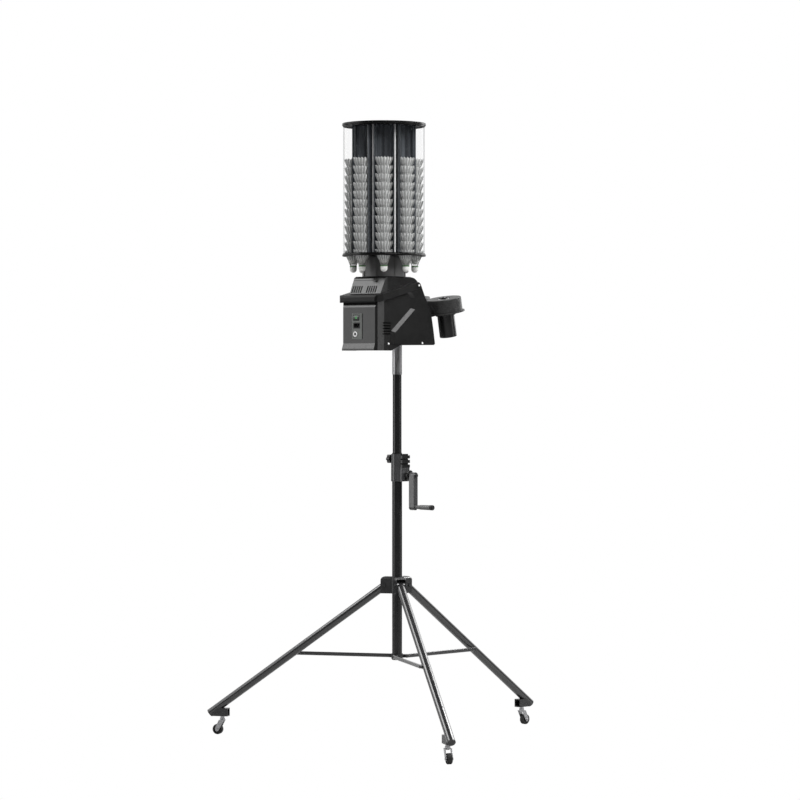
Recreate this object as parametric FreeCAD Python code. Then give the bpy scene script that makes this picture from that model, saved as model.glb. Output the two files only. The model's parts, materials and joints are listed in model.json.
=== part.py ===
"""Shuttlecock launching machine on a crank-up tripod, millimetres.

+X is the launch direction, +Y the machine's left, +Z up.
The origin is on the floor, under the axis of the column.
"""

import FreeCAD
import Part
import math
import os

V = FreeCAD.Vector
X_AXIS = V(1, 0, 0)
Y_AXIS = V(0, 1, 0)
Z_AXIS = V(0, 0, 1)

RUN = 0.06  # radial clearance of a pin or shaft in its bore
GAP = 0.4  # air between faces that pass each other

# Tripod
LEG_AZIMUTHS = (-5, 115, 235)
COLUMN_R = 19.0
COLUMN_BORE_R = 17.8
COLUMN_FOOT = 310.0
COLUMN_TOP = 1089.0
HUB_PIVOT_X = 46.0
HUB_PIVOT_Z = 590.0
HUB_BASE = 559.0
HUB_TOP = 623.0
EAR_HALF = 20.5
LEG_R = 15.5
LEG_BORE_R = 13.7
LEG_END_X = 747.0
LEG_END_Z = 82.5
LEG_PIN_R = 4.0
BRACE_Z = 320.0
BRACE_HUB_X = 27.0
BRACE_HALF = 7.0
BRACE_INSET = 10.0  # from the leg's axis to its brace pin, inward
BRACE_Y = (16.2, 25.2)
BRACE_PIN_R = 3.0
COLLAR_R = 22.0
STUB_X = (674.0, 736.0)
STUB_Z = (71.0, 102.0)
STUB_HALF = 15.0

# Casters
STEM_X = 699.0
TRAIL = 18.0
WHEEL_R = 20.0
WHEEL_HALF = 9.5
FORK_TOP = 56.0
STEM_R = 4.0
AXLE_R = 3.0

# Mast and winch
MAST_R = 16.9
MAST_BORE_R = 14.9
MAST_FOOT = 620.0
SLEEVE_R = 18.5
SLEEVE_FOOT = 1391.0
MAST_TOP = 1556.0
CASE_R = 23.0
CASE_Z = (985.0, 1089.0)
CASE_SPLIT = 1037.0
RIBS = 3
CASE_X = (-8.0, 38.0)
CASE_Y = (-32.0, 14.0)
CRANK_Z = 1008.0
RACK_MODULE = 1.5
PINION_TEETH = 12
RACK_TIP_X = 16.2
RACK_HALF = 4.0
PINION_X = RACK_TIP_X - RACK_MODULE + RACK_MODULE * PINION_TEETH / 2 + 0.25
CRANK_ARM_Y = (-71.8, -48.0)
CRANK_ARM_R = 12.0
CRANK_REACH = 120.0
GRIP_END_Y = -157.0
KNOB_Z = 1070.0

# Head housing, side outline as (X, Z)
SIDE_HALF = 88.5
PANEL_HALF = 94.0
WALL = 3.0
HOOD_HALF = 79.0
LIP_HALF = 99.0
LIP_FRONT_HALF = 93.5
CHANNEL_HALF = 38.2
CHANNEL_BACK = 4.0
CHANNEL_FLOOR = 1602.0
SEAM_REAR = V(-218, 0, 1661)
SEAM_FRONT = V(36, 0, 1718.5)
STEP_Z = 1503.0
FRONT_CURVE = ((115, 1503), (105, 1556), (94, 1607), (79, 1643), (64.5, 1667), (46, 1700))
HOOD_SHOULDER = ((-14, 1760), (5, 1756), (18, 1749.5), (27, 1742))
REAR_FOOT_Z = 1481.0
# Shares of a rear corner's cut, along X and Y
CORNER_CURVE = ((0, 1), (0.17, 0.4), (0.85, 0))
SCREW_SPOTS = ((-156, SIDE_HALF, 1507), (35, PANEL_HALF, 1510), (17, LIP_FRONT_HALF, 1728))

# Rear controls
MODULE_Y = (-16.0, 32.0)
MODULE_Z = (1524.0, 1620.0)
ROCKER_Y = (-4.0, 26.0)
ROCKER_Z = (1593.0, 1615.0)
INLET_Y = (-8.0, 26.0)
INLET_Z = (1563.5, 1586.0)
JACK_Y = 15.0
JACK_Z = 1542.5
PIN_SPOTS = ((3, 1571.5), (9, 1577), (15, 1571.5))

# Drum
DRUM_X = -77.0
DRUM_TURN = -4.75  # where the carousel rests, in degrees
DISC_R = 158.0
DISC_Z = (1837.0, 1845.0)
COVER_Z = (2329.0, 2339.0)
SHELL_R = 154.0
STATIONS = 8
STATION_R = 116.0
TUBE_R = 34.0
ROD_R = 3.3
ROD_CIRCLE = 107.0
NECK_R = 82.0
NECK_Z = (1760.0, 1834.0)
GEAR_MODULE = 1.5
GEAR_TEETH = 48
DRIVE_TEETH = 16
GEAR_Z = (1786.0, 1796.0)
DRIVE_X = DRUM_X - GEAR_MODULE * (GEAR_TEETH + DRIVE_TEETH) / 2 - 0.25

# Shuttlecock
CORK_R = 13.2
CORK_FOOT = 1775.5
CORK_LENGTH = 25.0
SHUTTLE_LENGTH = 85.0
SKIRT_R = 33.0
STACK_PITCH = 31.4
STACK_COUNT = 12

# Launcher, in its own frame: X along the launch line, Z square to it
LAUNCH_ANGLE = 11.0
WHEEL_POINT = V(191, 0, 1655)
LAUNCH_HALF_SPACING = 77.0
LAUNCH_WHEEL_R = 66.5
FLANGE_R = 74.5
LAUNCH_WHEEL_Z = (-28.0, 28.0)
MOTOR_R = 33.0
MOTOR_LENGTH = 88.0
SPINDLE_FOOT = -34.0
TILT_POINT = V(118, 0, 1638)
FEED_POINT = V(93.6, 0, 1689.6)
CHEEK_Y = (40.0, 43.0)
ARM_Y = (34.5, 38.5)


def cyl(radius, length, start, axis=Z_AXIS):
    return Part.makeCylinder(radius, length, start, axis)


def tube(outer, inner, length, start, axis=Z_AXIS):
    bore = cyl(inner, length + 2, start - axis, axis)
    return cyl(outer, length, start, axis).cut(bore)


def box(x, y, z):
    size = (x[1] - x[0], y[1] - y[0], z[1] - z[0])
    return Part.makeBox(size[0], size[1], size[2], V(x[0], y[0], z[0]))


def face_of(points):
    return Part.Face(Part.makePolygon(points + [points[0]]))


def side_prism(outline, y0, y1):
    """A solid from an (X, Z) outline, between two Y planes."""
    face = face_of([V(x, y0, z) for x, z in outline])
    return face.extrude(V(0, y1 - y0, 0))


def plan_prism(outline, z0, z1):
    """A solid from an (X, Y) outline, between two heights."""
    face = face_of([V(x, y, z0) for x, y in outline])
    return face.extrude(V(0, 0, z1 - z0))


def revolved(outline, x=0, y=0):
    """A solid of revolution about a vertical axis, from (radius, Z) points."""
    face = face_of([V(x + r, y, z) for r, z in outline])
    return face.revolve(V(x, y, 0), Z_AXIS, 360)


def turned(shape, degrees, centre=V(0, 0, 0), axis=Z_AXIS):
    copy = shape.copy()
    copy.rotate(centre, axis, degrees)
    return copy


def moved(shape, x=0, y=0, z=0):
    copy = shape.copy()
    copy.translate(V(x, y, z))
    return copy


def joined(shapes):
    return shapes[0].fuse(shapes[1:]).removeSplitter()


def mirrored(shape):
    return shape.mirror(V(0, 0, 0), Y_AXIS)


def stadium(radius, x, z0, z1, y0, y1):
    """A bar with round ends, standing along Z, its thickness along Y."""
    ends = [cyl(radius, y1 - y0, V(x, y0, z), Y_AXIS) for z in (z0, z1)]
    middle = box((x - radius, x + radius), (y0, y1), (min(z0, z1), max(z0, z1)))
    return joined([middle] + ends)


def gear(module, teeth, width, bore):
    """An external involute gear on the Z axis, a tooth centred on +X."""
    pitch_r = module * teeth / 2
    base_r = pitch_r * math.cos(math.radians(20))
    tip_r = pitch_r + 0.95 * module
    root_r = pitch_r - 1.25 * module
    inv20 = math.tan(math.radians(20)) - math.radians(20)
    half = math.pi / 2 / teeth + inv20 - 0.02 / pitch_r

    def flank(r):
        if r <= base_r:
            return half
        angle = math.acos(base_r / r)
        return half - (math.tan(angle) - angle)

    flank_foot = max(base_r, root_r)
    radii = [root_r] + [flank_foot + (tip_r - flank_foot) * k / 5 for k in range(6)]
    outline = []
    for tooth in range(teeth):
        centre = 2 * math.pi * tooth / teeth
        for sign, run in ((-1, radii), (1, radii[::-1])):
            for r in run:
                angle = centre + sign * flank(r)
                outline.append((r * math.cos(angle), r * math.sin(angle)))
    return plan_prism(outline, 0, width).cut(cyl(bore, width + 2, V(0, 0, -1)))


def save(name, shape):
    if isinstance(shape, (list, tuple)):
        shape = Part.makeCompound(shape)
    if not shape.isValid():
        print("not valid:", name)
    shape.exportStep("parts/" + name + ".step")


# ---------------------------------------------------------------- tripod


def make_column():
    column = tube(COLUMN_R, COLUMN_BORE_R, COLUMN_TOP - COLUMN_FOOT, V(0, 0, COLUMN_FOOT))
    window = box((10, 25), (-5.5, 5.5), (CRANK_Z - 10, CRANK_Z + 10))
    screw_hole = cyl(4.2, 10, V(0, 15, KNOB_Z), Y_AXIS)
    save("column_tube", column.cut(window).cut(screw_hole))
    plug = cyl(COLUMN_BORE_R, 12, V(0, 0, COLUMN_FOOT))
    plug = joined([plug, cyl(COLUMN_R, 4, V(0, 0, COLUMN_FOOT - 4))])
    bushing = tube(COLUMN_BORE_R, MAST_R + RUN, 40, V(0, 0, COLUMN_TOP - 40))
    rim = tube(COLUMN_R, MAST_R + RUN, 4, V(0, 0, COLUMN_TOP))
    screw_gap = cyl(4.2, 10, V(0, 15, KNOB_Z), Y_AXIS)
    save("column_bushings", [joined([bushing, rim]).cut(screw_gap), plug])


def make_hub():
    body = cyl(26, HUB_TOP - HUB_BASE, V(0, 0, HUB_BASE))
    slot = box((27, 70), (-LEG_R - 0.6, LEG_R + 0.6), (HUB_BASE - 5, HUB_TOP - 7))
    bore = cyl(LEG_PIN_R, 60, V(HUB_PIVOT_X, -30, HUB_PIVOT_Z), Y_AXIS)
    pins = []
    for azimuth in LEG_AZIMUTHS:
        ear = box((10, 60), (-EAR_HALF, EAR_HALF), (HUB_BASE, HUB_TOP))
        top_edges = [e for e in ear.Edges if abs(e.CenterOfMass.z - HUB_TOP) < 0.1]
        outer_top = [e for e in top_edges if e.CenterOfMass.x > 20]
        ear = ear.makeFillet(14, outer_top).cut([slot, bore])
        body = body.fuse(turned(ear, azimuth))
        pin = cyl(LEG_PIN_R, 2 * EAR_HALF + 4, V(HUB_PIVOT_X, -EAR_HALF - 4, HUB_PIVOT_Z), Y_AXIS)
        head = cyl(7, 3.5, V(HUB_PIVOT_X, -EAR_HALF - 3.5, HUB_PIVOT_Z), Y_AXIS)
        nut = cyl(6.5, 4, V(HUB_PIVOT_X, EAR_HALF, HUB_PIVOT_Z), Y_AXIS)
        pins.append(turned(joined([pin, head, nut]), azimuth))
    body = body.cut([turned(slot, azimuth) for azimuth in LEG_AZIMUTHS])
    body = body.cut(cyl(COLUMN_R, 100, V(0, 0, HUB_BASE - 10)))
    save("leg_hub", [body.removeSplitter()] + pins)


def make_collar():
    """The sliding collar, with a lug on the right of each leg's plane."""
    ring = cyl(COLLAR_R, 20, V(0, 0, BRACE_Z - 10))
    lug = box((12, BRACE_HUB_X), (7, BRACE_Y[0] - GAP), (BRACE_Z - 6.5, BRACE_Z + 6.5))
    eye = cyl(6.5, BRACE_Y[0] - GAP - 7, V(BRACE_HUB_X, 7, BRACE_Z), Y_AXIS)
    pin = cyl(BRACE_PIN_R, BRACE_Y[1] + GAP - 7, V(BRACE_HUB_X, 7, BRACE_Z), Y_AXIS)
    head = cyl(5, 1.8, V(BRACE_HUB_X, BRACE_Y[1] + GAP, BRACE_Z), Y_AXIS)
    pins = []
    for azimuth in LEG_AZIMUTHS:
        ring = ring.fuse([turned(mirrored(piece), azimuth) for piece in (lug, eye)])
        pins.append(turned(mirrored(joined([pin, head])), azimuth))
    ring = ring.cut(cyl(COLUMN_R + RUN, 60, V(0, 0, BRACE_Z - 30)))
    save("brace_collar", [ring.cut(pins).removeSplitter()] + pins)


def leg_axis():
    return V(LEG_END_X - HUB_PIVOT_X, 0, LEG_END_Z - HUB_PIVOT_Z)


def brace_reach():
    """Where the brace meets the leg, along X."""
    axis = leg_axis()
    return HUB_PIVOT_X + axis.x * (BRACE_Z - HUB_PIVOT_Z) / axis.z - BRACE_INSET


def make_leg():
    pivot = V(HUB_PIVOT_X, 0, HUB_PIVOT_Z)
    axis = leg_axis()
    outside = cyl(LEG_R, axis.Length, pivot, axis)
    eye = cyl(LEG_R - 1.5, 2 * LEG_R, pivot - V(0, LEG_R, 0), Y_AXIS)
    bore = cyl(LEG_BORE_R, axis.Length, pivot + axis * (22 / axis.Length), axis)
    saddle = cyl(9, BRACE_Y[0] - GAP, V(brace_reach(), GAP - BRACE_Y[0], BRACE_Z), Y_AXIS)
    pin_hole = cyl(LEG_PIN_R + RUN, 60, pivot - V(0, 30, 0), Y_AXIS)
    leg = joined([outside, eye, saddle]).cut(bore).cut(pin_hole)
    plug = cyl(LEG_BORE_R, 14, pivot + axis * (1 - 12 / axis.Length), axis)
    lid = cyl(LEG_R, 3, pivot + axis, axis)
    plug = joined([plug, lid])
    stub = box(STUB_X, (-STUB_HALF, STUB_HALF), STUB_Z)
    inside = STUB_HALF - 3
    hollow = box((STUB_X[0] - 5, STUB_X[1] - 14), (-inside, inside), (STUB_Z[0] + 4, STUB_Z[1] - 3))
    stem_hole = cyl(STEM_R + RUN, 10, V(STEM_X, 0, STUB_Z[0] - 3))
    stub = stub.cut([outside, lid, hollow, stem_hole])
    stub = max(stub.Solids, key=lambda s: s.Volume)
    return leg, plug, stub


def make_brace():
    """A flat bar on the right of the leg, and the pin at its outer end."""
    reach = brace_reach()
    thick = BRACE_Y[1] - BRACE_Y[0]
    bar = box((BRACE_HUB_X, reach), BRACE_Y, (BRACE_Z - BRACE_HALF, BRACE_Z + BRACE_HALF))
    bar = bar.makeFillet(2.5, [e for e in bar.Edges if e.Length > 100])
    eyes = [cyl(BRACE_HALF, thick, V(x, BRACE_Y[0], BRACE_Z), Y_AXIS) for x in (BRACE_HUB_X, reach)]
    brace = joined([bar] + eyes)
    brace = brace.cut(cyl(BRACE_PIN_R + RUN, 30, V(BRACE_HUB_X, 5, BRACE_Z), Y_AXIS))
    brace = brace.cut(cyl(BRACE_PIN_R, 30, V(reach, 5, BRACE_Z), Y_AXIS))
    pin = cyl(BRACE_PIN_R, thick + 0.5, V(reach, BRACE_Y[0], BRACE_Z), Y_AXIS)
    head = cyl(5, 1.8, V(reach, BRACE_Y[1], BRACE_Z), Y_AXIS)
    return mirrored(brace), mirrored(joined([pin, head]))


def make_caster():
    """One caster with its stem on the Z axis and its wheel trailing towards +X."""
    stem = joined([cyl(STEM_R, 28, V(0, 0, 50)), cyl(8, 6.6, V(0, 0, 64)), cyl(7, 3, V(0, 0, 50))])
    stem = stem.fuse(cyl(6.5, 3, V(0, 0, 75.4)))
    plate = box((-9, 11), (-13.4, 13.4), (FORK_TOP - 3, FORK_TOP))
    race = cyl(10, 7.5, V(0, 0, FORK_TOP - 0.5))
    outline = [(-9, FORK_TOP), (11, FORK_TOP), (26, 24), (24, 14), (18, 11.5), (12, 14), (8, 22)]
    cheeks = [side_prism(outline, y, y + 2) for y in (-13.4, 11.4)]
    fork = joined([plate, race] + cheeks)
    fork = fork.cut(stem)
    fork = fork.cut(cyl(AXLE_R, 40, V(TRAIL, -20, WHEEL_R), Y_AXIS))
    tread = cyl(WHEEL_R, 2 * WHEEL_HALF, V(TRAIL, -WHEEL_HALF, WHEEL_R), Y_AXIS)
    tread = tread.makeFillet(3.5, [e for e in tread.Edges if e.Closed and e.Length > 100])
    hub = cyl(6, 22, V(TRAIL, -11, WHEEL_R), Y_AXIS)
    recess = [tube(14, 6.5, 4, V(TRAIL, y, WHEEL_R), Y_AXIS) for y in (-WHEEL_HALF - 1, WHEEL_HALF - 3)]
    bore = cyl(AXLE_R + RUN, 40, V(TRAIL, -20, WHEEL_R), Y_AXIS)
    wheel = joined([tread, hub]).cut(recess).cut(bore)
    axle = cyl(AXLE_R, 30, V(TRAIL, -15, WHEEL_R), Y_AXIS)
    caps = [cyl(5, 2, V(TRAIL, y, WHEEL_R), Y_AXIS) for y in (-15.4, 13.4)]
    return stem, fork, wheel, joined([axle] + caps)


def make_tripod():
    leg, plug, stub = make_leg()
    brace, brace_pin = make_brace()
    stem, fork, wheel, axle = [moved(piece, x=STEM_X) for piece in make_caster()]
    for number, azimuth in enumerate(LEG_AZIMUTHS, 1):
        groups = {"leg": [leg], "foot": [stub, plug], "brace": [brace, brace_pin]}
        groups["caster_fork"] = [fork, stem, axle]
        groups["caster_wheel"] = [wheel]
        for name, pieces in groups.items():
            save("%s_%d" % (name, number), [turned(piece, azimuth) for piece in pieces])


# ---------------------------------------------------------------- mast and winch


def make_mast():
    mast = tube(MAST_R, MAST_BORE_R, MAST_TOP - MAST_FOOT, V(0, 0, MAST_FOOT))
    rack_top = SLEEVE_FOOT - 6
    slot = box((RACK_TIP_X - 5.2, MAST_R + 2), (-RACK_HALF, RACK_HALF), (MAST_FOOT + 20, rack_top))
    mast = mast.cut(slot)
    pitch = math.pi * RACK_MODULE
    depth = 2.2 * RACK_MODULE
    root_x = RACK_TIP_X - depth
    slope = math.tan(math.radians(20))
    at_pitch = pitch / 4
    tip_half = at_pitch - RACK_MODULE * slope
    root_half = at_pitch + (depth - RACK_MODULE) * slope
    outline = [(root_x - 1.9, rack_top), (root_x - 1.9, MAST_FOOT + 20), (root_x, MAST_FOOT + 20)]
    first = math.ceil((MAST_FOOT + 24 - CRANK_Z) / pitch - 0.5) + 0.5
    centre = CRANK_Z + first * pitch
    while centre + root_half < rack_top - 3:
        outline.append((root_x, centre - root_half))
        outline.append((RACK_TIP_X, centre - tip_half))
        outline.append((RACK_TIP_X, centre + tip_half))
        outline.append((root_x, centre + root_half))
        centre += pitch
    outline.append((root_x, rack_top))
    save("mast_tube", [mast, side_prism(outline, -RACK_HALF, RACK_HALF)])
    save("mast_sleeve", tube(SLEEVE_R, MAST_R, MAST_TOP - SLEEVE_FOOT, V(0, 0, SLEEVE_FOOT)))


def make_winch():
    column = cyl(COLUMN_R, 200, V(0, 0, 950))
    sleeve = cyl(CASE_R, CASE_Z[1] - CASE_Z[0], V(0, 0, CASE_Z[0]))
    block = box(CASE_X, CASE_Y, (CASE_Z[0], CASE_SPLIT))
    middle = (CASE_Z[0] + CASE_SPLIT) / 2
    block = block.makeFillet(4, [e for e in block.Edges if abs(e.CenterOfMass.z - middle) < 1])
    shaft = V(PINION_X, 0, CRANK_Z)
    pocket = cyl(12, 12, shaft - V(0, 6, 0), Y_AXIS)
    bore = cyl(5 + RUN, 80, shaft - V(0, 60, 0), Y_AXIS)
    screw = cyl(4 + RUN, 30, V(0, 10, KNOB_Z), Y_AXIS)
    case = sleeve.fuse(block).cut([column, pocket, bore, screw])
    save("winch_case", case.removeSplitter())

    cover = None
    rib_pitch = (CASE_Z[1] - CASE_SPLIT) / RIBS
    for rib in range(RIBS):
        low = CASE_SPLIT + rib * rib_pitch
        slab = box(CASE_X, CASE_Y, (low, low + rib_pitch - 5.5))
        neck = box((CASE_X[0] + 5, CASE_X[1] - 5), (CASE_Y[0] + 5, CASE_Y[1] - 3),
                   (low, low + rib_pitch))
        cover = slab.fuse(neck) if cover is None else cover.fuse([slab, neck])
    cover = cover.cut(cyl(CASE_R, 200, V(0, 0, 950)))
    cover = max(cover.removeSplitter().Solids, key=lambda s: s.Volume)
    boss = cyl(20, 14, V(PINION_X, CASE_Y[0] - 14, CRANK_Z), Y_AXIS)
    rim = [e for e in boss.Edges if e.Closed and e.CenterOfMass.y < CASE_Y[0] - 10]
    boss = boss.makeFillet(2.5, rim)
    boss = boss.cut(cyl(5 + RUN, 60, V(PINION_X, -80, CRANK_Z), Y_AXIS))
    save("winch_cover", [cover, boss])


def make_crank():
    shaft = cyl(5, 84, V(PINION_X, CRANK_ARM_Y[0] - 1, CRANK_Z), Y_AXIS)
    nut = cyl(8, 3, V(PINION_X, CRANK_ARM_Y[0] - 3, CRANK_Z), Y_AXIS)
    shaft = joined([shaft, nut])
    pinion = gear(RACK_MODULE, PINION_TEETH, 7, 5)
    pinion = turned(pinion, 90, axis=X_AXIS)
    pinion = turned(pinion, 180, axis=Z_AXIS)
    pinion = moved(pinion, PINION_X, -3.5, CRANK_Z)
    low = CRANK_Z - CRANK_REACH
    arm = stadium(CRANK_ARM_R, PINION_X, CRANK_Z, low, CRANK_ARM_Y[0], CRANK_ARM_Y[1])
    arm = arm.cut(cyl(5, 40, V(PINION_X, CRANK_ARM_Y[0] - 5, CRANK_Z), Y_AXIS))
    arm = arm.cut(cyl(4, 40, V(PINION_X, CRANK_ARM_Y[0] - 5, low), Y_AXIS))
    save("crank_arm", arm)
    spindle = cyl(4, 103, V(PINION_X, GRIP_END_Y + 6, low), Y_AXIS)
    stop = cyl(6, 2, V(PINION_X, GRIP_END_Y + 4, low), Y_AXIS)
    save("crank_shaft", [shaft, pinion, joined([spindle, stop])])
    start = CRANK_ARM_Y[0] - GAP
    profile = [(0, start), (6.5, start), (6.5, start - 5), (9, start - 26), (9.5, GRIP_END_Y + 14)]
    profile += [(9.5, GRIP_END_Y + 3), (7, GRIP_END_Y), (0, GRIP_END_Y)]
    face = face_of([V(r, y, 0) for r, y in profile])
    grip = face.revolve(V(0, 0, 0), Y_AXIS, 360)
    grip = moved(grip, PINION_X, 0, low)
    grip = grip.cut(cyl(4 + RUN, 200, V(PINION_X, GRIP_END_Y + 5.5, low), Y_AXIS))
    grip = grip.cut(cyl(6 + RUN, 3, V(PINION_X, GRIP_END_Y + 3.5, low), Y_AXIS))
    save("crank_grip", grip)


def make_lock_knob():
    lobes = [turned(cyl(6.5, 14, V(11, 27, 0), Y_AXIS), 60 * k, axis=Y_AXIS) for k in range(6)]
    core = cyl(12.5, 14, V(0, 27, 0), Y_AXIS)
    neck = cyl(8, 4, V(0, 23.4, 0), Y_AXIS)
    screw = cyl(4, 15, V(0, MAST_R + GAP, 0), Y_AXIS)
    save("lock_knob", [moved(joined([core, neck] + lobes).cut(screw), z=KNOB_Z), moved(screw, z=KNOB_Z)])


# ---------------------------------------------------------------- head


def seam_z(x):
    """Height of the sloping seam between the lower housing and the lip."""
    slope = (SEAM_FRONT.z - SEAM_REAR.z) / (SEAM_FRONT.x - SEAM_REAR.x)
    return SEAM_REAR.z + slope * (x - SEAM_REAR.x)


def lower_outline(inset=0):
    rear = [(-214 + inset, seam_z(-214 + inset)), (-222 + inset, 1643), (-222 + inset, 1508)]
    rear += [(-229 + inset, 1488)]
    foot = [(-229 + inset, REAR_FOOT_Z), (-138, REAR_FOOT_Z), (-81, STEP_Z)]
    front = [(x - inset, z) for x, z in FRONT_CURVE]
    return foot + front + [(SEAM_FRONT.x - inset, seam_z(SEAM_FRONT.x - inset))] + rear


def hood_outline(inset=0):
    rear = [(-202 + inset, seam_z(-202)), (-160 + inset, 1752 - inset / 2), (-151 + inset, 1760 - inset)]
    shoulder = [(x - inset, z - inset) for x, z in HOOD_SHOULDER]
    return rear + shoulder + [(SEAM_FRONT.x - inset, seam_z(SEAM_FRONT.x - inset))]


def rear_corners(x0, half, cut_x, cut_y, z0, z1):
    """Two wedges that round the rear vertical corners."""
    curve = [(x0 + along * cut_x, half - across * cut_y) for along, across in CORNER_CURVE]
    outside = [(x0 + cut_x, half + 9), (x0 - 9, half + 9), (x0 - 9, half - cut_y)]
    wedge = plan_prism(outside + curve, z0, z1)
    return [wedge, mirrored(wedge)]


def lower_corners(inset, z0=1300, z1=1850):
    return rear_corners(inset - 222, SIDE_HALF - inset, 48, 10, z0, z1)


def hood_solid():
    """The hood's outside, before it is hollowed."""
    outer = side_prism(hood_outline(), -HOOD_HALF, HOOD_HALF)
    outer = outer.cut(rear_corners(-202, HOOD_HALF, 60, 9, 1500, 1900))
    section = ((HOOD_HALF - 5, 1761), (HOOD_HALF + 1, 1761), (HOOD_HALF + 1, 1755))
    bevel = face_of([V(-300, y, z) for y, z in section]).extrude(V(400, 0, 0))
    return outer.cut([bevel, mirrored(bevel)])


def channel(grow=0.0):
    side = CHANNEL_HALF + grow
    return box((CHANNEL_BACK - grow, 200), (-side, side), (CHANNEL_FLOOR - grow, 1900))


def screw_heads():
    heads = [cyl(3.8, 2.4, V(x, y, z), Y_AXIS) for x, y, z in SCREW_SPOTS]
    return heads + [mirrored(head) for head in heads]


def screw_shanks():
    shanks = [cyl(1.6, 8, V(x, y - 8, z), Y_AXIS) for x, y, z in SCREW_SPOTS]
    return shanks + [mirrored(shank) for shank in shanks]


def make_lower_housing():
    outer = side_prism(lower_outline(), -SIDE_HALF, SIDE_HALF).cut(lower_corners(0))
    half = SIDE_HALF - WALL
    inner = side_prism(lower_outline(WALL), -half, half).cut(lower_corners(WALL))
    rear = WALL - 222
    front = 115 - WALL
    foot = [(rear, 1400), (-139, 1400), (front, 1400), (front, STEP_Z + 1)]
    foot += [(-82, STEP_Z + 1), (-139, REAR_FOOT_Z + 1), (rear, REAR_FOOT_Z + 1)]
    open_foot = side_prism(foot, -half, half)
    open_top = side_prism([(-205, 1655), (32, 1712), (32, 1800), (-205, 1800)], -half, half)
    module_hole = box((-240, -200), (MODULE_Y[0] + 3, MODULE_Y[1] - 3),
                      (MODULE_Z[0] + 3, MODULE_Z[1] - 3))
    slots = []
    for row in range(5):
        low = 1541 + 10.2 * row
        for side in (-1, 1):
            slots.append(box((-188, -142), sorted((side * 80, side * 95)), (low, low + 4.5)))
    cuts = [inner, module_hole, channel()]
    cuts += [opening.cut(lower_corners(WALL)) for opening in (open_foot, open_top)]
    shell = outer.cut(cuts + slots + screw_shanks())
    save("lower_housing", max(shell.removeSplitter().Solids, key=lambda s: s.Volume))


def make_side_panels():
    """Raised panels on both sides, with a broad bevel at the rear edge."""
    front = [(113, 1506), (104, 1556), (93, 1607), (78, 1643), (63.5, 1667), (45, 1700), (33, 1722)]
    foot = [(-64, 1708), (-36, 1693), (-26, 1680), (-26, 1641), (-140, 1555), (-152, 1506)]
    edge = [(-46, 1712), (-17, 1693), (-6.5, 1680), (-6.5, 1637), (-122, 1549), (-134, 1506)]
    wires = []
    for points, y in ((foot + front, SIDE_HALF), (edge + front, PANEL_HALF)):
        corners = [V(x, y, z) for x, z in points]
        wires.append(Part.makePolygon(corners + [corners[0]]))
    panel = Part.makeLoft(wires, True, True)
    below = [(-300, 1300), (300, 1300), (300, seam_z(300) - 0.2), (-300, seam_z(-300) - 0.2)]
    panel = panel.common(side_prism(below, 0, 200))
    save("side_panels", [side.cut(screw_shanks()) for side in (panel, mirrored(panel))])


def make_hood():
    half = HOOD_HALF - WALL
    inner = side_prism(hood_outline(WALL) + [(30, 1600), (-198, 1600)], -half, half)
    inner = inner.cut(rear_corners(WALL - 202, half, 60, 9, 1500, 1900))
    drive_hole = cyl(12, 40, V(DRIVE_X, 0, 1740))
    neck_hole = cyl(30, 40, V(DRUM_X, 0, 1740))
    groove = box((-175, -161.6), (-HOOD_HALF, HOOD_HALF), (1744, 1746.2))
    latch_hole = cyl(4.5, 30, V(-185, -40, 1741), X_AXIS)
    slats = []
    for centre in (46, -26):
        for column in range(5):
            y = centre - 21 + 10.5 * column
            slats.append(box((-215, -150), (y - 3, y + 3), (1698, 1724)))
    shell = hood_solid().cut([inner, drive_hole, neck_hole, groove, latch_hole, channel()] + slats)
    save("hood", max(shell.removeSplitter().Solids, key=lambda s: s.Volume))


def make_lip():
    """The dark bumper round the seam, thick at the rear and along both sides."""
    rise = [(-232, 8), (-231, 22), (-226, 29), (-205, 27), (8, 27), (18, 26), (27, 17), (36, 0.1)]
    fall = [(-218, 0.1), (-222, 1.5), (-229, 2)]
    outline = [(x, seam_z(x) + height) for x, height in rise + fall]
    band = side_prism(outline, -LIP_HALF, LIP_HALF)
    band = band.cut(rear_corners(-232, LIP_HALF, 40, 16, 1500, 1900))
    side = [(-110, LIP_HALF), (0, LIP_FRONT_HALF), (60, LIP_FRONT_HALF), (60, 120), (-110, 120)]
    taper = plan_prism(side, 1500, 1900)
    band = band.cut([hood_solid(), channel(), taper, mirrored(taper)] + screw_shanks())
    save("hood_lip", band.removeSplitter())


def make_base():
    thick = 3.5
    rear = WALL - 221.5
    low = REAR_FOOT_Z + 1.5
    high = STEP_Z + 1.5
    floor = high + thick
    outline = [(rear, low), (-139, low), (-82, high), (108, high)]
    outline += [(108, floor), (-83, floor), (-140, low + thick), (rear, low + thick)]
    half = SIDE_HALF - WALL - 0.2
    plate = side_prism(outline, -half, half)
    plate = plate.cut(rear_corners(rear, half, 48, 10, 1300, 1800))
    save("base_plate", plate.cut(cyl(23, 60, V(0, 0, 1480))))
    flange = cyl(42, 5, V(0, 0, floor))
    barrel = cyl(22.8, MAST_TOP + 6 - STEP_Z - 2, V(0, 0, STEP_Z + 2))
    ribs = [turned(box((20, 40), (-2, 2), (floor, floor + 28)), 45 + 90 * k) for k in range(4)]
    bore = cyl(SLEEVE_R + RUN, MAST_TOP + 0.1 - 1400, V(0, 0, 1400))
    save("pan_socket", joined([flange, barrel] + ribs).cut(bore))


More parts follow.
